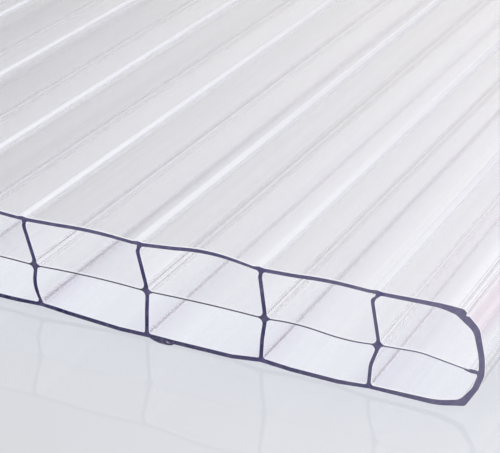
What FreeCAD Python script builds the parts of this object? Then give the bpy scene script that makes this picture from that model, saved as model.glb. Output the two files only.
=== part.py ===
"""Triple-wall polycarbonate glazing sheet, 16 mm, extruded in one piece.

The sheet lies flat with its flutes along Y, its width along X and +Z up. The origin is under the
middle of the sheet, on the plane that its underside rests on. One section is drawn at the front end
and extruded along the whole length: two outer skins, a thin middle wall between them, ribs every
20 mm, and a rounded closing wall along both long sides. The extrusion isn't ideal: each panel of
skin arches a little between its ribs, the ribs have a knee where they cross the middle wall, and
the ribs and panels next to the right-hand long side wander by a millimetre or two.
"""

import FreeCAD, Part
import math
import os

# Overall size. The depth is measured over the ribs.
SHEET_LENGTH = 2000.0
SHEET_WIDTH = 610.0
SHEET_DEPTH = 16.0

# Wall thicknesses.
SKIN = 0.62
RIB = 0.58
MIDDLE_WALL = 0.22
SIDE_WALL = 0.9

# Spacing: rib to rib, the narrowest first cell beside a long side, and the middle wall's height
# above the feet of the ribs.
RIB_PITCH = 20.0
FIRST_CELL_LEAST = 12.0
MIDDLE_HEIGHT = 7.9

# Fillets where walls meet: at the skins, and at the knees where ribs cross the middle wall.
SKIN_FILLET = 0.5
KNEE_FILLET = 0.85

# Panels between the ribs. The top skin runs from one rib's bead to the next through two points, at
# these shares of the way from its left end. The underside drops over a ramp beside each rib to the
# flat strip that the sheet rests on.
SWAY_SHARE, CREST_SHARE = 0.3, 0.6
TOP_FILLET = 120.0
UNDERSIDE_DROP = 0.35
UNDERSIDE_RAMP = 5.0

# The bead that stands proud of the top skin over each rib, its crest off to the rib's left.
BEAD_HALF_WIDTH = 0.9
BEAD_HEIGHT = 0.15
BEAD_SHIFT = 0.45

# The neck of a rib is this far under its head, and its shin this far under its knee.
NECK_DROP = 1.5
SHIN_DROP = 3.6


class Rib:
    """How far a rib's centre line lies right of its place, and how far its ends stand too high."""

    def __init__(self, head, neck, knee, shin, foot, head_up=0.0, foot_up=0.0):
        self.head, self.neck, self.knee, self.shin, self.foot = head, neck, knee, shin, foot
        self.head_up, self.foot_up = head_up, foot_up


class Panel:
    """How far a panel's top rises at its two points, its middle arches, and its strip stands up.

    A dip splits the middle wall in two: its left half arches up and its right half sags by the dip.
    """

    def __init__(self, sway, crest, arch=0.0, strip_left=0.0, strip_right=0.0, dip=0.0):
        self.sway, self.crest, self.arch, self.dip = sway, crest, arch, dip
        self.strip_left, self.strip_right = strip_left, strip_right


# The uneven ribs and panels, counted from the right-hand long side, and the plain ones after them.
UNEVEN_RIBS = (
    Rib(-1.4, -2.5, -1.2, -2.4, -2.6, head_up=0.65, foot_up=0.23),
    Rib(-0.2, -0.5, 0.4, -0.1, -0.3, head_up=0.3, foot_up=0.25),
    Rib(-0.8, -1.4, 0.2, 0.0, -0.1, head_up=0.1, foot_up=-0.25),
    Rib(-1.65, -2.0, -0.1, -0.65, 0.65, head_up=0.05, foot_up=0.75),
)
UNEVEN_PANELS = (
    Panel(0.10, 0.45, 0.22, 0.22, 0.10, dip=0.28),
    Panel(0.50, 1.32, 0.15, 0.0, 0.0),
    Panel(0.20, 0.55, 0.25, 0.65, 0.05),
    Panel(0.05, 0.40, 0.20, 0.90, 0.88),
)
PLAIN_RIB = Rib(-0.7, -1.0, 0.1, -0.2, 0.0)
PLAIN_PANEL = Panel(0.13, 0.26)

# The outside of a long side, as distances in from its outermost face and down from the ribs' heads
# or up from their feet. The top skin swells and ends in a lip over a groove. The wall slants out
# from there to the shoulder, drops to the cheek and goes back in over the jowl to the chin.
SWELL_IN, SWELL_UP = 7.0, 0.95
LIP_IN, LIP_UP = 3.6, 0.8
LIP_TIP_IN, LIP_TIP_UP = 3.15, 0.35
GROOVE_IN, GROOVE_DOWN = 3.25, 0.2
BROW_IN = 2.75
SHOULDER_IN, SHOULDER_DOWN = 1.1, 1.8
CHEEK_UP, CHEEK_DOWN = 1.3, 1.1
JOWL_IN, JOWL_UP = 0.75, 4.5
CHIN_IN, CHIN_UP = 2.6, 1.2
HEEL_IN, HEEL_UP = 6.9, 0.2
SHOULDER_FILLET = 2.5
CHEEK_FILLET = 12.0
CHIN_FILLET = 0.8

# The inside of a long side. The flute's upper corner is cut off by a slant, and its lower one is
# drawn in to thicken the chin. The middle wall climbs, then falls to meet the cheek.
SLANT_WALL = 1.15
CHIN_WALL = 0.85
SWELL_WALL = 0.75
CORNER_FILLET = 1.5
PEAK_SHARE, PEAK_RISE = 0.65, 0.4
DIP_IN, DIP_DROP = 2.1, 0.75

# Corners turned by less than this many radians stay sharp. Fillets leave a little of every side
# straight.
SLIGHT_TURN = 0.07
SIDE_SHARE = 0.98

FEET = UNDERSIDE_DROP
RIGHT = SHEET_WIDTH / 2
FRONT = -SHEET_LENGTH / 2
CELLS = int((SHEET_WIDTH - 2 * FIRST_CELL_LEAST) / RIB_PITCH)
FIRST_CELL = (SHEET_WIDTH - CELLS * RIB_PITCH) / 2
RIBS = CELLS + 1


def rib(index):
    """A rib's own values and where its place is in the sheet's frame."""
    own = UNEVEN_RIBS[index] if index < len(UNEVEN_RIBS) else PLAIN_RIB
    return own, RIGHT - FIRST_CELL - RIB_PITCH * index


def panel(index):
    return UNEVEN_PANELS[index] if index < len(UNEVEN_PANELS) else PLAIN_PANEL


def bead(index):
    """The left foot, crest and right foot of the bead over a rib."""
    own, place = rib(index)
    crest = place + own.head - BEAD_SHIFT
    base = SHEET_DEPTH + own.head_up
    return (crest - BEAD_HALF_WIDTH, base), (crest, base + BEAD_HEIGHT), (crest + BEAD_HALF_WIDTH, base)


def top_points(index):
    """The two points of a panel's top skin between its beads, from the left."""
    left_x, left_z = bead(index + 1)[2]
    right_x, right_z = bead(index)[0]
    points = []
    for share, rise in ((SWAY_SHARE, panel(index).sway), (CREST_SHARE, panel(index).crest)):
        points.append((left_x + share * (right_x - left_x), left_z + share * (right_z - left_z) + rise))
    return points


def fillet_reaches(points, radii):
    """How far each corner's fillet reaches along its two sides.

    Two fillets that would meet share the side between them in proportion to what they ask for.
    """
    count = len(points)
    asked = []
    for i, point in enumerate(points):
        back = (points[i - 1] - point).normalize()
        ahead = (points[(i + 1) % count] - point).normalize()
        turn = math.pi - math.acos(max(-1.0, min(1.0, back.dot(ahead))))
        asked.append(radii[i] * math.tan(turn / 2) if turn > SLIGHT_TURN else 0.0)
    given = list(asked)
    for i in range(count):
        j = (i + 1) % count
        both = asked[i] + asked[j]
        room = SIDE_SHARE * (points[j] - points[i]).Length
        if both > room:
            given[i] = min(given[i], asked[i] * room / both)
            given[j] = min(given[j], asked[j] * room / both)
    return given


def outline(corners):
    """Closed wire at the front end through corners (x, z, fillet radius, rise).

    The rise bends the side that follows the corner into an arch, up where it is positive.
    """
    points = [FreeCAD.Vector(x, FRONT, z + FEET) for x, z, _, _ in corners]
    reaches = fillet_reaches(points, [corner[2] for corner in corners])
    count = len(points)
    edges = []
    for i, reach in enumerate(reaches):
        j = (i + 1) % count
        back = (points[i - 1] - points[i]).normalize()
        ahead = (points[j] - points[i]).normalize()
        start = points[i] + back * reach
        end = points[i] + ahead * reach
        if reach > 0:
            half = math.acos(max(-1.0, min(1.0, back.dot(ahead)))) / 2
            inset = reach / math.cos(half) - reach * math.tan(half)
            edges.append(Part.Arc(start, points[i] + (back + ahead).normalize() * inset, end).toShape())
        side_end = points[j] - ahead * reaches[j]
        rise = corners[i][3]
        if rise:
            crest = (end + side_end) / 2 + FreeCAD.Vector(0, 0, rise)
            edges.append(Part.Arc(end, crest, side_end).toShape())
        else:
            edges.append(Part.LineSegment(end, side_end).toShape())
    return Part.Wire(edges)


def middle_side(index, height):
    """One side of a panel's middle wall at that height, from the left knee to short of the right."""
    right, right_x = rib(index)
    left, left_x = rib(index + 1)
    start = left_x + RIB / 2 + left.knee
    end = right_x - RIB / 2 + right.knee
    own = panel(index)
    corners = [(start, height, KNEE_FILLET, own.arch)]
    if own.dip:
        corners.append(((start + end) / 2, height, 0, -own.dip))
    return corners, (end, height, KNEE_FILLET, 0)


def upper_flute(index):
    """Between the top skin and the middle wall, anticlockwise from its lower right corner."""
    right, right_x = rib(index)
    left, left_x = rib(index + 1)
    right_x -= RIB / 2
    left_x += RIB / 2
    sway, crest = top_points(index)
    floor, right_knee = middle_side(index, MIDDLE_HEIGHT + MIDDLE_WALL / 2)
    neck = SHEET_DEPTH - NECK_DROP
    roof = SHEET_DEPTH - SKIN
    return outline([
        right_knee,
        (right_x + right.neck, neck + right.head_up, 0, 0),
        (right_x + right.head, roof + right.head_up, SKIN_FILLET, 0),
        (crest[0], crest[1] - SKIN, TOP_FILLET, 0),
        (sway[0], sway[1] - SKIN, TOP_FILLET, 0),
        (left_x + left.head, roof + left.head_up, SKIN_FILLET, 0),
        (left_x + left.neck, neck + left.head_up, 0, 0),
    ] + floor)


def strip_points(index):
    """The two ends of a panel's flat strip on the underside, from the left."""
    right, right_x = rib(index)
    left, left_x = rib(index + 1)
    own = panel(index)
    return ((left_x + left.foot + UNDERSIDE_RAMP, own.strip_left - UNDERSIDE_DROP),
            (right_x + right.foot - UNDERSIDE_RAMP, own.strip_right - UNDERSIDE_DROP))


def lower_flute(index):
    """Between the middle wall and the underside, anticlockwise from its lower right corner."""
    right, right_x = rib(index)
    left, left_x = rib(index + 1)
    right_x -= RIB / 2
    left_x += RIB / 2
    strip_left, strip_right = strip_points(index)
    roof, right_knee = middle_side(index, MIDDLE_HEIGHT - MIDDLE_WALL / 2)
    shin = MIDDLE_HEIGHT - SHIN_DROP
    # The flute runs along the wall leftwards, so each arch goes to the corner at its right-hand end.
    ends = roof + [right_knee]
    leftwards = [(*ends[i][:3], ends[i - 1][3]) for i in range(len(ends) - 1, 0, -1)]
    return outline([
        (right_x + right.foot, SKIN + right.foot_up, SKIN_FILLET, 0),
        (right_x + right.shin, shin, 0, 0),
    ] + leftwards + [
        (*roof[0][:3], 0),
        (left_x + left.shin, shin, 0, 0),
        (left_x + left.foot, SKIN + left.foot_up, SKIN_FILLET, 0),
        (strip_left[0], strip_left[1] + SKIN, 0, 0),
        (strip_right[0], strip_right[1] + SKIN, 0, 0),
    ])


def side_flutes(index, side):
    """The two flutes between the last rib and the closing wall, on the right (1) or the left (-1)."""
    own, place = rib(index)

    def at(inwards, height, radius):
        return side * (RIGHT - inwards), height, radius, 0

    def by_rib(offset, height, radius):
        return place + offset + side * RIB / 2, height, radius, 0

    floor = MIDDLE_HEIGHT + MIDDLE_WALL / 2
    roof = MIDDLE_HEIGHT - MIDDLE_WALL / 2
    peak = PEAK_SHARE * FIRST_CELL
    upper = outline([
        by_rib(own.knee, floor, KNEE_FILLET),
        by_rib(own.neck, SHEET_DEPTH - NECK_DROP + own.head_up, 0),
        by_rib(own.head, SHEET_DEPTH - SKIN + own.head_up, SKIN_FILLET),
        at(SWELL_IN, SHEET_DEPTH + SWELL_UP - SWELL_WALL, CHEEK_FILLET),
        at(LIP_IN + SLANT_WALL, SHEET_DEPTH + LIP_UP - SLANT_WALL, CORNER_FILLET),
        at(SHOULDER_IN + SIDE_WALL, SHEET_DEPTH - SHOULDER_DOWN - SKIN, SHOULDER_FILLET),
        at(SIDE_WALL, MIDDLE_HEIGHT + CHEEK_UP, CHEEK_FILLET),
        at(SIDE_WALL, floor - DIP_DROP, SKIN_FILLET),
        at(DIP_IN, floor - DIP_DROP, SKIN_FILLET),
        at(peak, floor + PEAK_RISE, CHEEK_FILLET),
    ])
    lower = outline([
        by_rib(own.knee, roof, KNEE_FILLET),
        at(peak, roof + PEAK_RISE, CHEEK_FILLET),
        at(DIP_IN, roof - DIP_DROP, SKIN_FILLET),
        at(SIDE_WALL, roof - DIP_DROP, SKIN_FILLET),
        at(JOWL_IN + SIDE_WALL, JOWL_UP, SHOULDER_FILLET),
        at(CHIN_IN + CHIN_WALL, CHIN_UP + CHIN_WALL, SHOULDER_FILLET),
        at(HEEL_IN, HEEL_UP + CHIN_WALL, CHEEK_FILLET),
        by_rib(own.foot, SKIN + own.foot_up, SKIN_FILLET),
        by_rib(own.shin, MIDDLE_HEIGHT - SHIN_DROP, 0),
    ])
    return [upper, lower]


def closing_wall(side):
    """The outside of a long side as corners, from the swelling of the top down to the heel."""
    top = SHEET_DEPTH
    corners = [
        (SWELL_IN, top + SWELL_UP, CHEEK_FILLET),
        (LIP_IN, top + LIP_UP, CHIN_FILLET),
        (LIP_TIP_IN, top + LIP_TIP_UP, 0),
        (GROOVE_IN, top - GROOVE_DOWN, 0),
        (BROW_IN, top - GROOVE_DOWN, 0),
        (SHOULDER_IN, top - SHOULDER_DOWN, SHOULDER_FILLET),
        (0.0, MIDDLE_HEIGHT + CHEEK_UP, CHEEK_FILLET),
        (0.0, MIDDLE_HEIGHT - CHEEK_DOWN, SHOULDER_FILLET),
        (JOWL_IN, JOWL_UP, SHOULDER_FILLET),
        (CHIN_IN, CHIN_UP, CHIN_FILLET),
        (HEEL_IN, HEEL_UP, CHEEK_FILLET),
    ]
    return [(side * (RIGHT - inwards), height, radius, 0) for inwards, height, radius in corners]


def outside():
    """The outer outline, clockwise: the top from the left, the right side, the underside, the left."""
    top = []
    for index in reversed(range(RIBS)):
        top += [(x, z, 0, 0) for x, z in bead(index)]
        if index > 0:
            top += [(x, z, TOP_FILLET, 0) for x, z in top_points(index - 1)]
    underside = []
    for index in range(RIBS):
        own, place = rib(index)
        underside.append((place + own.foot, own.foot_up, 0, 0))
        if index < CELLS:
            underside += [(x, z, 0, 0) for x, z in reversed(strip_points(index))]
    right = closing_wall(1)
    left = list(reversed(closing_wall(-1)))
    return outline(top + right + underside + left)


def sheet():
    """The whole extrusion."""
    flutes = side_flutes(0, 1) + side_flutes(CELLS, -1)
    for index in range(CELLS):
        flutes.append(upper_flute(index))
        flutes.append(lower_flute(index))
    section = Part.makeFace([outside()] + flutes, "Part::FaceMakerBullseye")
    return section.extrude(FreeCAD.Vector(0, SHEET_LENGTH, 0))


os.makedirs("parts", exist_ok=True)
body = sheet()
body.exportStep("parts/sheet.step")
box = body.BoundBox
print("ribs", RIBS, "first cell", FIRST_CELL, "solids", len(body.Solids), "faces", len(body.Faces))
print("size", box.XLength, box.YLength, box.ZLength, "lowest", box.ZMin)
print("volume in cubic mm", body.Volume)
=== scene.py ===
"""Looks for a clear triple-wall polycarbonate sheet, extruded in one piece and sawn to length.

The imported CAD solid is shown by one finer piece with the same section. Its outlines are drawn here
in millimetres, as corners with fillets, and a Geometry Nodes tree repeats the plain flutes, rounds
the corners, fills the section and extrudes it. Flutes run along Y, +Z is up, metres in the frame.
"""

from collections import namedtuple
import math

import bpy
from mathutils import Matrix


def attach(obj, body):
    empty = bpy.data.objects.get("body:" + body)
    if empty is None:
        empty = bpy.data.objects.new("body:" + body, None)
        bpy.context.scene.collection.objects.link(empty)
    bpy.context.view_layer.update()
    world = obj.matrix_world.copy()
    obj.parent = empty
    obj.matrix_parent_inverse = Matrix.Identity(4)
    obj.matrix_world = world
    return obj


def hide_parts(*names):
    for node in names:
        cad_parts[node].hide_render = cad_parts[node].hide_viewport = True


MM = 0.001

# The sheet, as in the part's source: overall size, walls, spacing and fillets.
LENGTH, WIDTH, DEPTH = 2000.0, 610.0, 16.0
SKIN, RIB, MIDDLE, SIDE = 0.62, 0.58, 0.22, 0.9
PITCH, CELLS, MIDDLE_HEIGHT = 20.0, 29, 7.9
SKIN_FILLET, KNEE_FILLET, TOP_FILLET = 0.5, 0.85, 120.0
# Heights in the section count from the ribs' feet, which are this far over the table.
FEET = 0.35

# Fillets of corners that the part leaves sharp: broken edges, and a rib's bends at neck and shin.
DIE_CORNER = 0.05
NECK_BEND, SHIN_BEND = 1.2, 6.0
# Corners turned by less than this many radians get none.
SLIGHT_TURN = 0.02
# A tight fillet's guard point stands this many of its radii from the corner, and a little more, on
# a side that is over GUARD_ROOM times as long as that.
GUARD_SHARE, GUARD_MORE, GUARD_ROOM = 1.15, 0.15, 3
TIGHT_FILLET = 1.0
# An arch's fillet takes up this share of both sides of its corner.
ARCH_SHARE = 0.9

Rib = namedtuple("Rib", "head neck knee shin foot head_up foot_up")
Panel = namedtuple("Panel", "sway crest arch strip_left strip_right dip", defaults=(0.0,))

# The uneven ribs and panels from the right-hand long side inwards, then the plain ones.
UNEVEN_RIBS = (
    Rib(-1.4, -2.5, -1.2, -2.4, -2.6, 0.65, 0.23),
    Rib(-0.2, -0.5, 0.4, -0.1, -0.3, 0.3, 0.25),
    Rib(-0.8, -1.4, 0.2, 0.0, -0.1, 0.1, -0.25),
    Rib(-1.65, -2.0, -0.1, -0.65, 0.65, 0.05, 0.75),
)
UNEVEN_PANELS = (
    Panel(0.10, 0.45, 0.22, 0.22, 0.10, 0.28),
    Panel(0.50, 1.32, 0.15, 0.0, 0.0),
    Panel(0.20, 0.55, 0.25, 0.65, 0.05),
    Panel(0.05, 0.40, 0.20, 0.90, 0.88),
)
PLAIN_RIB = Rib(-0.7, -1.0, 0.1, -0.2, 0.0, 0.0, 0.0)
PLAIN_PANEL = Panel(0.13, 0.26, 0.0, 0.0, 0.0)

# A panel's top bends at two shares of its span. A bead's crest stands left of its rib's head. A rib
# bends at its neck, below its head, and at its shin, below the middle wall. The underside drops
# along a ramp from a foot to the flat strip beside it.
SWAY_SHARE, CREST_SHARE = 0.3, 0.6
BEAD_HALF, BEAD_HEIGHT, BEAD_SHIFT = 0.9, 0.15, 0.45
NECK_DROP, SHIN_DROP, RAMP = 1.5, 3.6, 5.0

# The outside of a long side, as distances in from its outermost face and up from the ribs' feet.
SWELL, LIP, LIP_TIP = (7.0, 16.95), (3.6, 16.8), (3.15, 16.35)
GROOVE, BROW, SHOULDER = (3.25, 15.8), (2.75, 15.8), (1.1, 14.2)
CHEEK_TOP, CHEEK_FOOT, JOWL = (0.0, 9.2), (0.0, 6.8), (0.75, 4.5)
CHIN, HEEL = (2.6, 1.2), (6.9, 0.2)
SHOULDER_FILLET, CHEEK_FILLET, CHIN_FILLET = 2.5, 12.0, 0.8

# The inside: its walls, and the middle wall, which climbs to a peak and then dips to the cheek.
SLANT_WALL, CHIN_WALL, SWELL_WALL = 1.15, 0.85, 0.75
CORNER_FILLET = 1.5
PEAK_SHARE, PEAK_RISE = 0.65, 0.4
DIP_IN, DIP_DROP = 2.1, 0.75

RIGHT = WIDTH / 2
END = LENGTH / 2
MIDDLE_Z = MIDDLE_HEIGHT + FEET
FIRST_CELL = (WIDTH - CELLS * PITCH) / 2
FIRST_PLAIN = len(UNEVEN_PANELS)

# The mesh: a fillet over SMALL_FILLET gets CORNER_STEPS steps and a smaller one a single step.
# Edges bent by less than SMOOTH_BEND degrees are shaded smooth, and points nearer than WELD merge.
SMALL_FILLET, CORNER_STEPS = 0.2, 6
SMOOTH_BEND, WELD = 28, 0.001

# Marks on the plastic, painted glow, highlight and shade among them: the distances at which each
# is full and at which it ends or starts.
# From a rib's crossing, and from a bead's crest.
CROSSING_FULL, CROSSING_REACH = 0.6, 0.8
CREST_FULL, CREST_REACH = 0.2, 1.1
# Behind a cut: the scuff with its painted glow, and the painted dark rim. The painted crest
# highlight and crossing shade don't end there, but are halved.
SCUFF_FULL, SCUFF_REACH = 0.2, 0.6
PAINTED_DARK_FULL, PAINTED_DARK_REACH = 0.15, 0.2
END_PAINT_FULL, END_PAINT_REACH = 30.0, 120.0
# Up from the table.
UNDERSIDE_FULL, UNDERSIDE_REACH = 1.5, 2.0
FOOT_FULL, FOOT_REACH = 4.0, 8.0
TINT_FULL_UP, TINT_STARTS_UP = 13.5, 11.5
# In from a long side.
TINT_FULL_IN, TINT_STARTS_IN = 2.9, 3.4
# Where the painted dark rim starts, and how far in the sawn end's painted light turns paler.
PAINTED_DARK_FULL_IN, PAINTED_DARK_STARTS_IN = 22.0, 19.0
PALE_REACH_IN = 45.0
# Off the middle wall.
MIDDLE_FULL, MIDDLE_REACH = 0.6, 0.7
SKIN_FULL, SKIN_STARTS = 7.6, 7.1

# The camera in metres and degrees, and two directions: the picture's right, and up to a soft box.
SENSOR, LENS = 36.0, 123.57
CAMERA_AT = (0.367602, -1.204652, 0.131334)
LOOKS_DOWN, LOOKS_LEFT = 25.4385, 25.9757
PICTURE_RIGHT = (0.899, 0.438, 0.0)
TOWARDS_BOX = (-0.123, 0.696, 0.707)


def rib(index):
    """A rib's own values, and the X of its place."""
    own = UNEVEN_RIBS[index] if index < len(UNEVEN_RIBS) else PLAIN_RIB
    return own, RIGHT - FIRST_CELL - PITCH * index


def panel(index):
    """The own values of the panel left of a rib."""
    return UNEVEN_PANELS[index] if index < len(UNEVEN_PANELS) else PLAIN_PANEL


def bead(index):
    """The bead over a rib: its left foot, crest and right foot."""
    own, place = rib(index)
    x, z = place + own.head - BEAD_SHIFT, DEPTH + own.head_up
    return (x - BEAD_HALF, z), (x, z + BEAD_HEIGHT), (x + BEAD_HALF, z)


def top_points(index):
    """The two points between its beads that bend a panel's top skin."""
    (x0, z0), (x1, z1) = bead(index + 1)[2], bead(index)[0]
    own = panel(index)
    return [(x0 + share * (x1 - x0), z0 + share * (z1 - z0) + rise)
            for share, rise in ((SWAY_SHARE, own.sway), (CREST_SHARE, own.crest))]


def strip_points(index):
    """The ends of the flat strip under a panel."""
    (right, right_x), (left, left_x) = rib(index), rib(index + 1)
    own = panel(index)
    return ((left_x + left.foot + RAMP, own.strip_left - FEET),
            (right_x + right.foot - RAMP, own.strip_right - FEET))


def arched(left, right, z, own):
    """The middle wall's bends, from the left: one arch, or with a dip an arch and a sag.

    The crest of an arch is one corner, whose fillet takes up most of both sides.
    """
    parts = 2 if own.dip else 1
    half = (right - left) / 2 / parts
    bends = []
    for i, rise in enumerate((own.arch, -own.dip)[:parts]):
        if rise:
            fillet = ARCH_SHARE * half * half / abs(2 * rise)
            bends.append((left + (2 * i + 1) * half, z + 2 * rise, fillet))
    return bends


def cell_flutes(index):
    """The two flutes of a cell, as corners (x, z, fillet)."""
    (right, x1), (left, x0) = rib(index), rib(index + 1)
    x1 -= RIB / 2
    x0 += RIB / 2
    (sway_x, sway_z), (crest_x, crest_z) = top_points(index)
    (strip_x0, strip_z0), (strip_x1, strip_z1) = strip_points(index)
    floor, roof = MIDDLE_HEIGHT + MIDDLE / 2, MIDDLE_HEIGHT - MIDDLE / 2
    own = panel(index)
    upper = [
        (x1 + right.knee, floor, KNEE_FILLET),
        (x1 + right.neck, DEPTH - NECK_DROP + right.head_up, NECK_BEND),
        (x1 + right.head, DEPTH - SKIN + right.head_up, SKIN_FILLET),
        (crest_x, crest_z - SKIN, TOP_FILLET),
        (sway_x, sway_z - SKIN, TOP_FILLET),
        (x0 + left.head, DEPTH - SKIN + left.head_up, SKIN_FILLET),
        (x0 + left.neck, DEPTH - NECK_DROP + left.head_up, NECK_BEND),
        (x0 + left.knee, floor, KNEE_FILLET),
        *arched(x0 + left.knee, x1 + right.knee, floor, own),
    ]
    lower = [
        (x1 + right.foot, SKIN + right.foot_up, SKIN_FILLET),
        (x1 + right.shin, MIDDLE_HEIGHT - SHIN_DROP, SHIN_BEND),
        (x1 + right.knee, roof, KNEE_FILLET),
        *reversed(arched(x0 + left.knee, x1 + right.knee, roof, own)),
        (x0 + left.knee, roof, KNEE_FILLET),
        (x0 + left.shin, MIDDLE_HEIGHT - SHIN_DROP, SHIN_BEND),
        (x0 + left.foot, SKIN + left.foot_up, SKIN_FILLET),
        (strip_x0, strip_z0 + SKIN, DIE_CORNER),
        (strip_x1, strip_z1 + SKIN, DIE_CORNER),
    ]
    return [upper, lower]


def side_flutes(index, side):
    """The two flutes beside the closing wall, on the right (1) or the left (-1)."""
    own, place = rib(index)
    wall = place + side * RIB / 2
    floor, roof = MIDDLE_HEIGHT + MIDDLE / 2, MIDDLE_HEIGHT - MIDDLE / 2
    peak = PEAK_SHARE * FIRST_CELL

    def inside(corner, fillet, inwards=0.0, up=0.0):
        return side * (RIGHT - (corner[0] + inwards)), corner[1] + up, fillet

    upper = [
        (wall + own.knee, floor, KNEE_FILLET),
        (wall + own.neck, DEPTH - NECK_DROP + own.head_up, NECK_BEND),
        (wall + own.head, DEPTH - SKIN + own.head_up, SKIN_FILLET),
        inside(SWELL, CHEEK_FILLET, up=-SWELL_WALL),
        inside(LIP, CORNER_FILLET, SLANT_WALL, -SLANT_WALL),
        inside(SHOULDER, SHOULDER_FILLET, SIDE, -SKIN),
        inside(CHEEK_TOP, CHEEK_FILLET, SIDE),
        inside((SIDE, floor - DIP_DROP), SKIN_FILLET),
        inside((DIP_IN, floor - DIP_DROP), SKIN_FILLET),
        inside((peak, floor + PEAK_RISE), CHEEK_FILLET),
    ]
    lower = [
        (wall + own.knee, roof, KNEE_FILLET),
        inside((peak, roof + PEAK_RISE), CHEEK_FILLET),
        inside((DIP_IN, roof - DIP_DROP), SKIN_FILLET),
        inside((SIDE, roof - DIP_DROP), SKIN_FILLET),
        inside(JOWL, SHOULDER_FILLET, SIDE),
        inside(CHIN, SHOULDER_FILLET, CHIN_WALL, CHIN_WALL),
        inside(HEEL, CHEEK_FILLET, up=CHIN_WALL),
        (wall + own.foot, SKIN + own.foot_up, SKIN_FILLET),
        (wall + own.shin, MIDDLE_HEIGHT - SHIN_DROP, SHIN_BEND),
    ]
    return [upper, lower]


def closing_wall(side):
    """The outside of a long side, from the swelling of the top down to the heel."""
    corners = (
        (SWELL, CHEEK_FILLET), (LIP, CHIN_FILLET), (LIP_TIP, DIE_CORNER), (GROOVE, DIE_CORNER),
        (BROW, DIE_CORNER), (SHOULDER, SHOULDER_FILLET), (CHEEK_TOP, CHEEK_FILLET),
        (CHEEK_FOOT, SHOULDER_FILLET), (JOWL, SHOULDER_FILLET), (CHIN, CHIN_FILLET),
        (HEEL, CHEEK_FILLET),
    )
    return [(side * (RIGHT - inwards), z, fillet) for (inwards, z), fillet in corners]


def outside():
    """The outer outline: the top from the left, the right side, the underside and the left side."""
    top, underside = [], []
    for index in reversed(range(CELLS + 1)):
        top += [(x, z, DIE_CORNER) for x, z in bead(index)]
        if index:
            top += [(x, z, TOP_FILLET) for x, z in top_points(index - 1)]
    for index in range(CELLS + 1):
        own, place = rib(index)
        underside.append((place + own.foot, own.foot_up, DIE_CORNER))
        if index < CELLS:
            underside += [(x, z, DIE_CORNER) for x, z in reversed(strip_points(index))]
    return top + closing_wall(1) + underside + closing_wall(-1)[::-1]


def crossings():
    """Where each rib meets the top skin, the middle wall and the underside."""
    points = []
    for index in range(CELLS + 1):
        own, place = rib(index)
        points += [(place + own.head, DEPTH - SKIN / 2 + own.head_up),
                   (place + own.knee, MIDDLE_HEIGHT),
                   (place + own.foot, SKIN / 2 + own.foot_up)]
    return points


def with_guards(corners):
    """The same outline with guard points on its long sides, just clear of tight fillets.

    They keep what is marked near a rib from spreading along the whole side.
    """
    points = []
    for i, corner in enumerate(corners):
        after = corners[(i + 1) % len(corners)]
        side = math.dist(corner[:2], after[:2])
        points.append(corner)
        for end, share in ((corner, 0), (after, 1)):
            clear = GUARD_SHARE * end[2] + GUARD_MORE
            if end[2] <= TIGHT_FILLET and side > GUARD_ROOM * clear:
                share = abs(share - clear / side)
                points.append((corner[0] + share * (after[0] - corner[0]),
                               corner[1] + share * (after[1] - corner[1]), 0.0))
    return points


def outline_curve(name, outlines, origin=0.0):
    """Straight-sided closed splines in the section's plane. A point's radius is its fillet."""
    curve = bpy.data.curves.new(name, "CURVE")
    curve.dimensions = "3D"
    for outline in outlines:
        corners = with_guards(outline)
        spline = curve.splines.new("POLY")
        spline.points.add(len(corners) - 1)
        for i, (x, z, fillet) in enumerate(corners):
            before, after = corners[i - 1], corners[(i + 1) % len(corners)]
            back = math.atan2(z - before[1], x - before[0])
            ahead = math.atan2(after[1] - z, after[0] - x)
            turn = abs(math.remainder(ahead - back, 2 * math.pi))
            spline.points[i].co = ((x - origin) * MM, (z + FEET) * MM, 0.0, 1.0)
            spline.points[i].radius = fillet * MM if turn > SLIGHT_TURN else 0.0
        spline.use_cyclic_u = True
    return bpy.data.objects.new(name, curve)


def linear(code):
    """An sRGB hex colour as linear RGBA."""
    levels = [int(code[i:i + 2], 16) / 255 for i in (1, 3, 5)]
    return (*(c / 12.92 if c <= 0.04045 else ((c + 0.055) / 1.055) ** 2.4 for c in levels), 1.0)


def add(tree, kind, sockets=None, **settings):
    """Adds a node. sockets maps its inputs to values, or to the outputs that feed them."""
    node = tree.nodes.new(kind)
    for name, value in settings.items():
        setattr(node, name, value)
    for key, value in (sockets or {}).items():
        if isinstance(value, bpy.types.NodeSocket):
            tree.links.new(value, node.inputs[key])
        else:
            node.inputs[key].default_value = value
    return node


# Materials.

def per_metre(size):
    """The scale of a pattern whose features are this many millimetres wide."""
    return 1 / (size * MM)


def blank_material(name):
    """A new material and its tree, which is empty."""
    material = bpy.data.materials.new(name)
    material.use_nodes = True
    material.node_tree.nodes.clear()
    return material, material.node_tree


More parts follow.
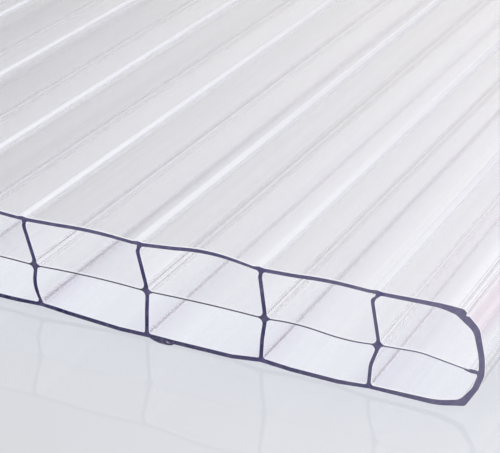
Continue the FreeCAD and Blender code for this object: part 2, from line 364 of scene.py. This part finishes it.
def clear_polycarbonate():
    """Extruded polycarbonate, IOR 1.585, as glossy as the polished calibrator left it.

    Broad, shallow die lines run along the flutes, 4 mm wide. The half millimetre behind each saw
    cut is scuffed, and painted glowing white for the light that the walls pipe to it. The crests of
    the beads get the same painted white glow as a highlight. Painted shade in the plastic's violet
    grey marks the ribs' crossings, where light runs far inside it, and most at the ribs' feet. It
    looks pinkish in the brow of the closing wall. Painted shade as dark as the cut runs 0.2 mm
    behind it along the corners of the ribs, of the underside and faintly of the middle wall. The
    painted highlight on the crests and the painted shade at the crossings are halved farther from
    the ends.
    """
    material, tree = blank_material("clear extruded polycarbonate")
    place = add(tree, "ShaderNodeTexCoord").outputs["Object"]
    x, y, z = add(tree, "ShaderNodeSeparateXYZ", {0: place}).outputs
    off_centre = add(tree, "ShaderNodeMath", {0: x}, operation="ABSOLUTE").outputs[0]
    from_middle = add(tree, "ShaderNodeMath", {0: y}, operation="ABSOLUTE").outputs[0]

    # Die lines.
    stretched = add(tree, "ShaderNodeMapping", {
        "Vector": place, "Scale": (per_metre(4.0), per_metre(400.0), per_metre(16.0))}).outputs[0]
    lines = add(tree, "ShaderNodeTexNoise", {
        "Vector": stretched, "Scale": 1.0, "Detail": 1.0}).outputs[0]
    bump = add(tree, "ShaderNodeBump", {
        "Height": lines, "Strength": 0.02, "Distance": 0.1 * MM}).outputs[0]

    # Painted shade in violet grey at the ribs' crossings, most at their feet, and a pinkish brow.
    near_end = add(tree, "ShaderNodeMapRange", {
        "Value": from_middle, "From Min": (END - END_PAINT_REACH) * MM,
        "From Max": (END - END_PAINT_FULL) * MM, "To Min": 0.5, "To Max": 1.0}).outputs[0]
    shade_by_foot = add(tree, "ShaderNodeMapRange", {
        "Value": z, "From Min": FOOT_FULL * MM, "From Max": FOOT_REACH * MM,
        "To Min": 1.0, "To Max": 0.1}).outputs[0]
    painted_shade_weight = add(tree, "ShaderNodeMath", {0: near_end, 1: shade_by_foot}, operation="MULTIPLY")
    crossing = add(tree, "ShaderNodeAttribute", attribute_name="crossing")
    painted_crossing_shade = add(tree, "ShaderNodeMath", {
        0: crossing.outputs["Fac"], 1: painted_shade_weight.outputs[0]}, operation="MULTIPLY")
    plastic = add(tree, "ShaderNodeMix", {
        0: painted_crossing_shade.outputs[0], 6: linear("#ffffff"), 7: linear("#e4e0ea")}, data_type="RGBA")
    by_lip = add(tree, "ShaderNodeMapRange", {
        "Value": off_centre, "From Min": (RIGHT - TINT_STARTS_IN) * MM,
        "From Max": (RIGHT - TINT_FULL_IN) * MM})
    on_shoulder = add(tree, "ShaderNodeMapRange", {
        "Value": z, "From Min": TINT_STARTS_UP * MM, "From Max": TINT_FULL_UP * MM})
    in_brow = add(tree, "ShaderNodeMath", {
        0: by_lip.outputs[0], 1: on_shoulder.outputs[0]}, operation="MULTIPLY")
    colour = add(tree, "ShaderNodeMix", {
        0: in_brow.outputs[0], 6: plastic.outputs[2], 7: linear("#f2e8ee")}, data_type="RGBA")
    clear = add(tree, "ShaderNodeBsdfPrincipled", {
        "Base Color": colour.outputs[2], "Roughness": 0.04, "IOR": 1.585,
        "Transmission Weight": 1.0, "Normal": bump})

    # Painted shade as dark as the cut, along the corners behind it: on upright walls, the underside
    # and the middle wall, but not near a long side.
    normal = add(tree, "ShaderNodeNewGeometry").outputs["Normal"]
    turned = add(tree, "ShaderNodeSeparateXYZ", {0: normal})
    level = add(tree, "ShaderNodeMath", {0: turned.outputs[2]}, operation="ABSOLUTE")
    upright = add(tree, "ShaderNodeMapRange", {
        "Value": level.outputs[0], "From Min": 0.3, "From Max": 0.6, "To Min": 1.0, "To Max": 0.0})
    underside = add(tree, "ShaderNodeMapRange", {
        "Value": z, "From Min": UNDERSIDE_FULL * MM, "From Max": UNDERSIDE_REACH * MM,
        "To Min": 1.0, "To Max": 0.0})
    walls = add(tree, "ShaderNodeMath", {
        0: upright.outputs[0], 1: underside.outputs[0]}, operation="MAXIMUM")
    over_middle = add(tree, "ShaderNodeMath", {0: z, 1: MIDDLE_Z * MM}, operation="SUBTRACT")
    off_middle = add(tree, "ShaderNodeMath", {0: over_middle.outputs[0]}, operation="ABSOLUTE")
    on_middle = add(tree, "ShaderNodeMapRange", {
        "Value": off_middle.outputs[0], "From Min": MIDDLE_FULL * MM,
        "From Max": MIDDLE_REACH * MM, "To Min": 0.35, "To Max": 0.0})
    corners = add(tree, "ShaderNodeMath", {
        0: walls.outputs[0], 1: on_middle.outputs[0]}, operation="MAXIMUM")
    off_side = add(tree, "ShaderNodeMapRange", {
        "Value": off_centre, "From Min": (RIGHT - PAINTED_DARK_FULL_IN) * MM,
        "From Max": (RIGHT - PAINTED_DARK_STARTS_IN) * MM, "To Min": 1.0, "To Max": 0.0})
    painted_dark_corners = add(tree, "ShaderNodeMath", {
        0: corners.outputs[0], 1: off_side.outputs[0]}, operation="MULTIPLY")
    at_cut = add(tree, "ShaderNodeMapRange", {
        "Value": from_middle, "From Min": (END - PAINTED_DARK_REACH) * MM,
        "From Max": (END - PAINTED_DARK_FULL) * MM})
    painted_dark_rim = add(tree, "ShaderNodeMath", {
        0: painted_dark_corners.outputs[0], 1: at_cut.outputs[0]}, operation="MULTIPLY").outputs[0]
    # The rims' emission: painted white glow, turning to the painted dark shade on those corners.
    painted_rim_colour = add(tree, "ShaderNodeMix", {
        0: painted_dark_rim, 6: linear("#f6f7fd"), 7: linear("#4b4878")}, data_type="RGBA")
    painted_rim = add(tree, "ShaderNodeEmission", {"Color": painted_rim_colour.outputs[2], "Strength": 1.0})

    # Scuffed rims painted glowing white, and a painted white highlight on the beads' crests.
    scuff_and_painted_glow = add(tree, "ShaderNodeMapRange", {
        "Value": from_middle, "From Min": (END - SCUFF_REACH) * MM,
        "From Max": (END - SCUFF_FULL) * MM, "To Min": 0.0, "To Max": 0.7})
    crest = add(tree, "ShaderNodeAttribute", attribute_name="crest")
    painted_crest_highlight = add(tree, "ShaderNodeMapRange", {
        "Value": crest.outputs["Fac"], "From Min": 0.0, "From Max": 0.8, "To Max": 0.6})
    painted_highlight_near_end = add(tree, "ShaderNodeMath", {0: near_end, 1: painted_crest_highlight.outputs[0]}, operation="MULTIPLY")
    marked = add(tree, "ShaderNodeMath", {
        0: scuff_and_painted_glow.outputs[0], 1: painted_highlight_near_end.outputs[0]}, operation="MAXIMUM")
    # The share of the surface given to painted glow and painted shade instead of clear plastic.
    painted_share = add(tree, "ShaderNodeMath", {0: marked.outputs[0], 1: painted_dark_rim}, operation="MAXIMUM")
    surface = add(tree, "ShaderNodeMixShader", {
        0: painted_share.outputs[0], 1: clear.outputs[0], 2: painted_rim.outputs[0]})
    tint = add(tree, "ShaderNodeVolumeAbsorption", {"Color": linear("#a09cb4"), "Density": 8.0})
    add(tree, "ShaderNodeOutputMaterial", {
        "Surface": surface.outputs[0], "Volume": tint.outputs[0]})
    return material


def sawn_polycarbonate():
    """The sawn end of the same plastic, painted dark violet as shade for the light trapped in its
    walls.

    Its painted shade is darker low down and lighter higher up, lighter in the skins, towards the
    closing walls and at the rib crossings, and grey on the thin middle wall. The teeth left paler
    tears in it, about 0.7 mm across.
    """
    material, tree = blank_material("sawn polycarbonate end")
    place = add(tree, "ShaderNodeTexCoord").outputs["Object"]
    at = add(tree, "ShaderNodeSeparateXYZ", {0: place}).outputs
    # Painted shade, darker low down and lighter higher up.
    height = add(tree, "ShaderNodeMapRange", {
        "Value": at["Z"], "From Min": 1.0 * MM, "From Max": DEPTH * MM})
    dark = add(tree, "ShaderNodeMix", {
        0: height.outputs[0], 6: linear("#262459"), 7: linear("#494677")}, data_type="RGBA")
    grain = add(tree, "ShaderNodeTexNoise", {
        "Vector": place, "Scale": per_metre(6.0), "Detail": 2.0})
    patchy = add(tree, "ShaderNodeMapRange", {
        "Value": grain.outputs[0], "From Min": 0.45, "From Max": 0.7, "To Max": 0.5})
    walls = add(tree, "ShaderNodeMix", {
        0: patchy.outputs[0], 6: dark.outputs[2], 7: linear("#5e5c84")}, data_type="RGBA")

    over_middle = add(tree, "ShaderNodeMath", {
        0: at["Z"], 1: MIDDLE_Z * MM}, operation="SUBTRACT")
    off_middle = add(tree, "ShaderNodeMath", {0: over_middle.outputs[0]}, operation="ABSOLUTE")
    in_middle = add(tree, "ShaderNodeMapRange", {
        "Value": off_middle.outputs[0], "From Min": MIDDLE_FULL * MM,
        "From Max": MIDDLE_REACH * MM, "To Min": 0.8, "To Max": 0.0})
    thin = add(tree, "ShaderNodeMix", {
        0: in_middle.outputs[0], 6: walls.outputs[2], 7: linear("#50505c")}, data_type="RGBA")
    # Painted light: lighter in the skins, towards the long sides and at the rib crossings.
    in_skin = add(tree, "ShaderNodeMapRange", {
        "Value": off_middle.outputs[0], "From Min": SKIN_STARTS * MM,
        "From Max": SKIN_FULL * MM, "To Max": 0.2})
    skins = add(tree, "ShaderNodeMix", {
        0: in_skin.outputs[0], 6: thin.outputs[2], 7: linear("#9896b0")}, data_type="RGBA")
    off_centre = add(tree, "ShaderNodeMath", {0: at["X"]}, operation="ABSOLUTE")
    by_side = add(tree, "ShaderNodeMapRange", {
        "Value": off_centre.outputs[0], "From Min": (RIGHT - PALE_REACH_IN) * MM,
        "From Max": RIGHT * MM, "To Max": 0.85}, interpolation_type="SMOOTHSTEP")
    sides = add(tree, "ShaderNodeMix", {
        0: by_side.outputs[0], 6: skins.outputs[2], 7: linear("#8380a0")}, data_type="RGBA")
    crossing = add(tree, "ShaderNodeAttribute", attribute_name="crossing")
    colour = add(tree, "ShaderNodeMix", {
        0: crossing.outputs["Fac"], 6: sides.outputs[2], 7: linear("#5d5a8a")}, data_type="RGBA")

    teeth = add(tree, "ShaderNodeTexNoise", {
        "Vector": place, "Scale": per_metre(0.7), "Detail": 1.0})
    torn = add(tree, "ShaderNodeMapRange", {
        "Value": teeth.outputs[0], "From Min": 0.45, "From Max": 0.75, "To Max": 0.25})
    sawn = add(tree, "ShaderNodeMix", {
        0: torn.outputs[0], 6: colour.outputs[2], 7: linear("#a8a5c0")}, data_type="RGBA")
    surface = add(tree, "ShaderNodeBsdfPrincipled", {
        "Base Color": sawn.outputs[2], "Roughness": 0.4, "IOR": 1.585, "Specular IOR Level": 0.2})
    add(tree, "ShaderNodeOutputMaterial", {"Surface": surface.outputs[0]})
    return material


def broken_polycarbonate():
    """Chips that the saw left hanging: crazed through, so white and dull, with a faint painted
    glow. Cracks 0.6 mm apart.
    """
    material, tree = blank_material("broken polycarbonate")
    place = add(tree, "ShaderNodeTexCoord").outputs["Object"]
    cracks = add(tree, "ShaderNodeTexNoise", {
        "Vector": place, "Scale": per_metre(0.6), "Detail": 1.0})
    colour = add(tree, "ShaderNodeMix", {
        0: cracks.outputs[0], 6: linear("#e6e6ea"), 7: linear("#ffffff")}, data_type="RGBA")
    # A faint painted glow on top of the crazed white.
    surface = add(tree, "ShaderNodeBsdfPrincipled", {
        "Base Color": colour.outputs[2], "Roughness": 0.6, "IOR": 1.585,
        "Emission Color": linear("#ffffff"), "Emission Strength": 0.2})
    add(tree, "ShaderNodeOutputMaterial", {"Surface": surface.outputs[0]})
    return material


def lacquered_board():
    """Pale lacquered board under the sheet. It mirrors the sawn end faintly.

    The camera, and what is seen through the sheet, get its plain colour. Round the sheet's near
    corner that colour has painted shade over the sheet, turning to painted light to the right, and a
    painted bluish glow from the sheet in front of its cut. Farther off it is even.
    """
    # Widths in millimetres of the painted shade over the sheet, the painted light beside it and the
    # painted bluish glow in front of its cut, then where that painting fades into the even colour.
    painted_shade_in, painted_light_out, before_cut = 65.0, 55.0, 50.0
    local_reach, even_from = 90.0, 250.0
    material, tree = blank_material("pale lacquered board")
    place = add(tree, "ShaderNodeTexCoord").outputs["Object"]
    at = add(tree, "ShaderNodeSeparateXYZ", {0: place}).outputs
    # Painted shade over the sheet, turning to painted light to the right of it.
    rightwards = add(tree, "ShaderNodeMapRange", {
        "Value": at["X"], "From Min": (RIGHT - painted_shade_in) * MM, "From Max": (RIGHT + painted_light_out) * MM},
        interpolation_type="SMOOTHSTEP")
    plain = add(tree, "ShaderNodeMix", {
        0: rightwards.outputs[0], 6: linear("#dedfe3"), 7: linear("#f3f4f5")}, data_type="RGBA")
    # A painted bluish glow from the sheet, in front of its cut.
    painted_bluish_glow = add(tree, "ShaderNodeMapRange", {
        "Value": at["Y"], "From Min": (-END - before_cut) * MM, "From Max": -END * MM,
        "To Max": 0.7}, interpolation_type="SMOOTHSTEP")
    painted_near_corner = add(tree, "ShaderNodeMix", {
        0: painted_bluish_glow.outputs[0], 6: plain.outputs[2], 7: linear("#e2e6ef")}, data_type="RGBA")
    off_corner = add(tree, "ShaderNodeVectorMath", {
        0: place, 1: (RIGHT * MM, -END * MM, 0.0)}, operation="DISTANCE")
    far = add(tree, "ShaderNodeMapRange", {
        "Value": off_corner.outputs["Value"], "From Min": local_reach * MM,
        "From Max": even_from * MM}, interpolation_type="SMOOTHSTEP")
    colour = add(tree, "ShaderNodeMix", {
        0: far.outputs[0], 6: painted_near_corner.outputs[2], 7: linear("#e4e6ea")}, data_type="RGBA")

    path = add(tree, "ShaderNodeLightPath").outputs
    lit = add(tree, "ShaderNodeBsdfDiffuse", {"Color": colour.outputs[2]})
    direct = add(tree, "ShaderNodeEmission", {"Color": colour.outputs[2], "Strength": 1.0})
    even = add(tree, "ShaderNodeMath", {0: path["Is Camera Ray"], 1: 0.85}, operation="MULTIPLY")
    levelled = add(tree, "ShaderNodeMixShader", {
        0: even.outputs[0], 1: lit.outputs[0], 2: direct.outputs[0]})
    lacquer = add(tree, "ShaderNodeBsdfGlossy", {"Roughness": 0.05})
    sheen = add(tree, "ShaderNodeFresnel", {"IOR": 1.6})
    glossed = add(tree, "ShaderNodeMixShader", {
        0: sheen.outputs[0], 1: levelled.outputs[0], 2: lacquer.outputs[0]})
    through = add(tree, "ShaderNodeEmission", {"Color": linear("#eaedf6"), "Strength": 1.0})
    seen = add(tree, "ShaderNodeMixShader", {
        0: path["Is Transmission Ray"], 1: glossed.outputs[0], 2: through.outputs[0]})
    add(tree, "ShaderNodeOutputMaterial", {"Surface": seen.outputs[0]})
    return material


# The Geometry Nodes tree.

TREE_INPUTS = (
    ("Outlines", "Geometry"), ("Plain flutes", "Object"), ("Crossings", "Object"),
    ("Crests", "Object"), ("Length", "Float"), ("Rib pitch", "Float"), ("Plain cells", "Int"),
    ("First plain rib", "Float"), ("Corner steps", "Int"), ("Crossing reach", "Float"),
    ("Clear plastic", "Material"), ("Sawn plastic", "Material"),
)


def sheet_tree():
    """Section outlines in, the whole sheet out."""
    tree = bpy.data.node_groups.new("hollow sheet", "GeometryNodeTree")
    for name, kind in TREE_INPUTS:
        tree.interface.new_socket(name, in_out="INPUT", socket_type="NodeSocket" + kind)
    tree.interface.new_socket("Sheet", in_out="OUTPUT", socket_type="NodeSocketGeometry")
    given = add(tree, "NodeGroupInput").outputs

    # The plain flutes, repeated leftwards.
    leftwards = add(tree, "ShaderNodeMath", {
        0: given["Rib pitch"], 1: -1.0}, operation="MULTIPLY")
    step = add(tree, "ShaderNodeCombineXYZ", {0: leftwards.outputs[0]})
    start = add(tree, "ShaderNodeCombineXYZ", {0: given["First plain rib"]})
    places = add(tree, "GeometryNodeMeshLine", {
        "Count": given["Plain cells"], "Start Location": start.outputs[0],
        "Offset": step.outputs[0]})
    flutes = add(tree, "GeometryNodeObjectInfo", {"Object": given["Plain flutes"]})
    repeated = add(tree, "GeometryNodeInstanceOnPoints", {
        "Points": places.outputs[0], "Instance": flutes.outputs["Geometry"]})
    real = add(tree, "GeometryNodeRealizeInstances", {0: repeated.outputs[0]})
    wires = add(tree, "GeometryNodeJoinGeometry")
    tree.links.new(given["Outlines"], wires.inputs[0])
    tree.links.new(real.outputs[0], wires.inputs[0])

    # The section, with its corners rounded.
    fillet = add(tree, "GeometryNodeInputRadius").outputs[0]
    large = add(tree, "FunctionNodeCompare", {
        0: fillet, 1: SMALL_FILLET * MM}, operation="GREATER_THAN")
    steps = add(tree, "GeometryNodeSwitch", {
        "Switch": large.outputs[0], "False": 1, "True": given["Corner steps"]}, input_type="INT")
    rounded = add(tree, "GeometryNodeFilletCurve", {
        "Curve": wires.outputs[0], "Count": steps.outputs[0], "Radius": fillet,
        "Limit Radius": True}, mode="POLY")
    section = add(tree, "GeometryNodeFillCurve", {"Curve": rounded.outputs[0]}, mode="TRIANGLES")

    # What the materials read: how near a point is to a rib's crossing and to a bead's crest.
    knots = add(tree, "GeometryNodeObjectInfo", {"Object": given["Crossings"]})
    from_knot = add(tree, "GeometryNodeProximity", {
        "Geometry": knots.outputs["Geometry"]}, target_element="POINTS")
    crossing = add(tree, "ShaderNodeMapRange", {
        "Value": from_knot.outputs["Distance"], "From Min": given["Crossing reach"],
        "From Max": CROSSING_FULL * MM, "To Min": 0.0, "To Max": 1.0})
    with_crossing = add(tree, "GeometryNodeStoreNamedAttribute", {
        "Geometry": section.outputs[0], "Name": "crossing", "Value": crossing.outputs[0]},
        data_type="FLOAT", domain="POINT")
    crests = add(tree, "GeometryNodeObjectInfo", {"Object": given["Crests"]})
    from_crest = add(tree, "GeometryNodeProximity", {
        "Geometry": crests.outputs["Geometry"]}, target_element="POINTS")
    crest = add(tree, "ShaderNodeMapRange", {
        "Value": from_crest.outputs["Distance"], "From Min": CREST_FULL * MM,
        "From Max": CREST_REACH * MM, "To Min": 1.0, "To Max": 0.0})
    with_crest = add(tree, "GeometryNodeStoreNamedAttribute", {
        "Geometry": with_crossing.outputs[0], "Name": "crest", "Value": crest.outputs[0]},
        data_type="FLOAT", domain="POINT")

    # Extruded between the two cuts, and laid down along Y.
    half = add(tree, "ShaderNodeMath", {0: given["Length"], 1: -0.5}, operation="MULTIPLY")
    back = add(tree, "ShaderNodeCombineXYZ", {2: half.outputs[0]})
    placed = add(tree, "GeometryNodeTransform", {
        "Geometry": with_crest.outputs[0], "Translation": back.outputs[0]})
    along = add(tree, "ShaderNodeCombineXYZ", {2: given["Length"]})
    run = add(tree, "GeometryNodeExtrudeMesh", {
        "Mesh": placed.outputs[0], "Offset": along.outputs[0], "Offset Scale": 1.0,
        "Individual": False}, mode="FACES")
    cap = add(tree, "GeometryNodeFlipFaces", {"Mesh": placed.outputs[0]})
    shell = add(tree, "GeometryNodeJoinGeometry")
    tree.links.new(run.outputs["Mesh"], shell.inputs[0])
    tree.links.new(cap.outputs[0], shell.inputs[0])
    welded = add(tree, "GeometryNodeMergeByDistance", {
        "Geometry": shell.outputs[0], "Distance": WELD * MM})
    laid = add(tree, "GeometryNodeTransform", {
        "Geometry": welded.outputs[0], "Rotation": (math.pi / 2, 0.0, 0.0)})

    # Smooth round fillets, sharp at corners.
    smooth = add(tree, "GeometryNodeSetShadeSmooth", {
        0: laid.outputs[0], "Shade Smooth": True}, domain="FACE")
    bend = add(tree, "GeometryNodeInputMeshEdgeAngle")
    gentle = add(tree, "FunctionNodeCompare", {
        0: bend.outputs[0], 1: math.radians(SMOOTH_BEND)}, operation="LESS_THAN")
    creased = add(tree, "GeometryNodeSetShadeSmooth", {
        0: smooth.outputs[0], "Shade Smooth": gentle.outputs[0]}, domain="EDGE")

    # Clear walls and sawn ends.
    normal = add(tree, "GeometryNodeInputNormal").outputs[0]
    turned = add(tree, "ShaderNodeSeparateXYZ", {0: normal})
    endwise = add(tree, "ShaderNodeMath", {0: turned.outputs[1]}, operation="ABSOLUTE")
    is_end = add(tree, "FunctionNodeCompare", {
        0: endwise.outputs[0], 1: 0.5}, operation="GREATER_THAN")
    whole = add(tree, "GeometryNodeRealizeInstances", {0: creased.outputs[0]})
    clear = add(tree, "GeometryNodeSetMaterial", {
        "Geometry": whole.outputs[0], "Material": given["Clear plastic"]})
    sawn = add(tree, "GeometryNodeSetMaterial", {
        "Geometry": clear.outputs[0], "Selection": is_end.outputs[0],
        "Material": given["Sawn plastic"]})
    add(tree, "NodeGroupOutput", {0: sawn.outputs[0]})
    return tree


def dots(name, points):
    """Loose points of the section, for the tree to measure distances from."""
    mesh = bpy.data.meshes.new(name)
    mesh.from_pydata([(x * MM, (z + FEET) * MM, 0.0) for x, z in points], [], [])
    return bpy.data.objects.new(name, mesh)


def make_sheet():
    """Runs the tree on the outlines and keeps its result as a plain mesh."""
    uneven = [outside()] + side_flutes(0, 1) + side_flutes(CELLS, -1)
    for index in range(FIRST_PLAIN):
        uneven += cell_flutes(index)
    place = rib(FIRST_PLAIN)[1]
    host = outline_curve("section outlines", uneven)
    plain = outline_curve("plain flutes", cell_flutes(FIRST_PLAIN), place)
    knots = dots("rib crossings", crossings())
    crests = dots("bead crests", [bead(index)[1] for index in range(CELLS + 1)])
    bpy.context.scene.collection.objects.link(host)

    tree = sheet_tree()
    modifier = host.modifiers.new("hollow sheet", "NODES")
    modifier.node_group = tree
    values = {
        "Plain flutes": plain, "Crossings": knots, "Crests": crests,
        "Length": LENGTH * MM, "Rib pitch": PITCH * MM,
        "Plain cells": CELLS - FIRST_PLAIN, "First plain rib": place * MM,
        "Corner steps": CORNER_STEPS, "Crossing reach": CROSSING_REACH * MM,
        "Clear plastic": clear_polycarbonate(), "Sawn plastic": sawn_polycarbonate(),
    }
    for item in tree.interface.items_tree:
        if item.name in values:
            modifier[item.identifier] = values[item.name]
    evaluated = host.evaluated_get(bpy.context.evaluated_depsgraph_get())
    mesh = bpy.data.meshes.new_from_object(evaluated)
    mesh.name = "sheet_walls"
    # The outlines bring an empty slot along.
    for slot in reversed(range(len(mesh.materials))):
        if mesh.materials[slot] is None:
            mesh.materials.pop(index=slot)
    for helper in (host, plain, knots, crests):
        bpy.data.objects.remove(helper)
    sheet = bpy.data.objects.new("sheet_walls", mesh)
    bpy.context.scene.collection.objects.link(sheet)
    return sheet


# Saw damage, in rings of corners (x, y, z). A corner's y is its place behind the cut, and negative
# where it sticks out.

# A chip at full size in the corner left of a rib's head, as x and z from the rib and the top skin's
# inside, and the ribs that have one, with its size. Its front ring is smaller by CHIP_TAPER.
CHIP = ((-1.75, 0.1), (-1.5, -0.12), (-1.2, -0.05), (-1.0, -0.5), (-0.7, -0.35), (-0.55, 0.1))
CHIP_SIZES = {0: 1.0, 2: 0.9, 3: 0.5}
CHIP_FRONT, CHIP_BACK, CHIP_TAPER = -0.12, 0.25, 0.85

# The burr curled forward under the third panel and the torn flake on its end, from the foot of rib
# BURR_RIB and up from the table.
BURR_RIB = 2
BURR = (
    ((1.6, -0.4, 0.02), (2.6, -0.68, 0.02), (3.9, -0.7, 0.02), (4.6, -0.55, 0.02),
     (4.7, -0.4, 0.35), (3.9, -0.55, 0.42), (2.6, -0.5, 0.42), (1.7, -0.3, 0.42)),
    ((0.6, 0.0, 0.02), (2.6, 0.0, 0.02), (3.9, 0.0, 0.02), (4.9, 0.0, 0.02),
     (4.9, 0.0, 0.5), (3.9, 0.0, 0.5), (2.6, 0.0, 0.5), (0.7, 0.0, 0.5)),
)
FLAKE = (
    ((3.9, -0.6, 0.38), (4.3, -0.52, 0.3), (4.32, -0.5, 0.33), (3.92, -0.58, 0.42)),
    ((3.7, -0.4, 0.34), (4.6, -0.3, 0.16), (4.65, -0.3, 0.26), (3.8, -0.4, 0.46)),
)

# The wedge where the middle wall thickens at the closing wall, from just inside that wall.
WEDGE_IN = 0.85
WEDGE = (
    ((-2.2, -0.02, 7.1), (-1.2, -0.02, 6.85), (0.0, -0.02, 6.85), (0.0, -0.02, 7.3),
     (-1.3, -0.02, 7.32), (-2.2, -0.02, 7.22)),
    ((-2.2, 0.3, 7.1), (-1.2, 0.3, 6.9), (0.0, 0.3, 6.9), (0.0, 0.3, 7.3),
     (-1.3, 0.3, 7.3), (-2.2, 0.3, 7.2)),
)


def chip(index, size):
    """The front and back ring of a chip."""
    own, place = rib(index)
    hinge = CHIP[-1][0]

    def ring(y, share):
        return [(place + own.head + share * size * (x - hinge) + hinge, y,
                 DEPTH - SKIN + own.head_up + share * size * z) for x, z in CHIP]

    return ring(CHIP_FRONT, CHIP_TAPER), ring(CHIP_BACK, 1.0)


def moved(rings, across, up):
    """The same rings farther to the right and up."""
    return [[(x + across, y, z + up) for x, y, z in ring] for ring in rings]


def slivers(name, pairs, material):
    """Small pieces at the sawn end, each drawn between its front and its back ring.

    The rings go anticlockwise as the camera sees them.
    """
    corners, faces = [], []
    for front, back in pairs:
        base, count = len(corners), len(front)
        corners += [(x * MM, (y - END) * MM, (z + FEET) * MM) for x, y, z in (*front, *back)]
        faces.append([base + i for i in range(count)])
        faces.append([base + count + i for i in reversed(range(count))])
        for i in range(count):
            j = (i + 1) % count
            faces.append([base + i, base + count + i, base + count + j, base + j])
    mesh = bpy.data.meshes.new(name)
    mesh.from_pydata(corners, [], faces)
    mesh.materials.append(material)
    piece = bpy.data.objects.new(name, mesh)
    bpy.context.scene.collection.objects.link(piece)
    return piece


# What stands round the sheet.

def board():
    """The table that the sheet lies on, far larger than the picture."""
    reach = 30
    mesh = bpy.data.meshes.new("table")
    mesh.from_pydata([(-reach, -reach, 0), (reach, -reach, 0), (reach, reach, 0),
                      (-reach, reach, 0)], [], [(0, 1, 2, 3)])
    mesh.materials.append(lacquered_board())
    table = bpy.data.objects.new("table", mesh)
    bpy.context.scene.collection.objects.link(table)
    return table


def studio_tent():
    """The light: a white studio tent.

    It is dimmer low down than overhead, and at the left than at the right. A small, soft box behind
    the sheet is a little brighter.
    """
    world = bpy.data.worlds.new("studio tent")
    world.use_nodes = True
    tree = world.node_tree
    tree.nodes.clear()
    sky = add(tree, "ShaderNodeTexCoord").outputs["Generated"]
    rightwards = add(tree, "ShaderNodeVectorMath", {
        0: sky, 1: PICTURE_RIGHT}, operation="DOT_PRODUCT").outputs["Value"]
    left_glow = add(tree, "ShaderNodeMapRange", {
        "Value": rightwards, "From Min": -0.2, "From Max": 0.1, "To Min": 0.42, "To Max": 0.82})
    right_glow = add(tree, "ShaderNodeMapRange", {
        "Value": rightwards, "From Min": 0.1, "From Max": 0.7, "To Max": 0.7})
    side_glow = add(tree, "ShaderNodeMath", {0: left_glow.outputs[0], 1: right_glow.outputs[0]})
    height = add(tree, "ShaderNodeSeparateXYZ", {0: sky}).outputs[2]
    overhead = add(tree, "ShaderNodeMapRange", {
        "Value": height, "From Min": 0.5, "From Max": 0.85}, interpolation_type="SMOOTHSTEP")
    tent = add(tree, "ShaderNodeMix", {
        0: overhead.outputs[0], 2: side_glow.outputs[0], 3: 1.1}, data_type="FLOAT")
    towards_box = add(tree, "ShaderNodeVectorMath", {
        0: sky, 1: TOWARDS_BOX}, operation="DOT_PRODUCT").outputs["Value"]
    in_box = add(tree, "ShaderNodeMapRange", {
        "Value": towards_box, "From Min": 0.97, "From Max": 0.985},
        interpolation_type="SMOOTHSTEP")
    strength = add(tree, "ShaderNodeMix", {
        0: in_box.outputs[0], 2: tent.outputs[0], 3: 1.2}, data_type="FLOAT")
    glow = add(tree, "ShaderNodeBackground", {
        "Color": linear("#fdf9f8"), "Strength": strength.outputs[0]})
    add(tree, "ShaderNodeOutputWorld", {"Surface": glow.outputs[0]})
    return world


def camera():
    """The photograph's place and angle of view."""
    data = bpy.data.cameras.new("camera")
    data.sensor_width = SENSOR
    data.lens = LENS
    data.clip_start = 0.01
    thing = bpy.data.objects.new("camera", data)
    thing.location = CAMERA_AT
    thing.rotation_euler = (math.radians(90 - LOOKS_DOWN), 0.0, math.radians(LOOKS_LEFT))
    bpy.context.scene.collection.objects.link(thing)
    return thing


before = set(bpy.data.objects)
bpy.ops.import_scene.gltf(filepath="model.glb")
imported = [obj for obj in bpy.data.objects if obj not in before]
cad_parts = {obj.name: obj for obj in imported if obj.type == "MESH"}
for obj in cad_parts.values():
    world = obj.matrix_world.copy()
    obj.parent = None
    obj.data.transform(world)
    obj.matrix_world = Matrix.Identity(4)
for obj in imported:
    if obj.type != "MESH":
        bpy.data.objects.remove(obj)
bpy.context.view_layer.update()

sheet = make_sheet()
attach(sheet, "root")
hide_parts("sheet")

own, place = rib(BURR_RIB)
burr_x = place + own.foot
torn = [chip(index, size) for index, size in CHIP_SIZES.items()]
torn.append(moved(FLAKE, burr_x, -FEET))
chips = slivers("saw_chips", torn, broken_polycarbonate())
dark = [moved(WEDGE, RIGHT - WEDGE_IN, 0.0), moved(BURR, burr_x, -FEET)]
burr = slivers("saw_burr", dark, bpy.data.materials["sawn polycarbonate end"])
for piece in (chips, burr):
    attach(piece, "root")

table = board()

scene = bpy.context.scene
scene.world = studio_tent()
scene.camera = camera()
scene.view_settings.view_transform = "Standard"
# Light crosses dozens of walls before it leaves the sheet.
scene.cycles.max_bounces = 96
scene.cycles.transmission_bounces = 96
scene.cycles.glossy_bounces = 96
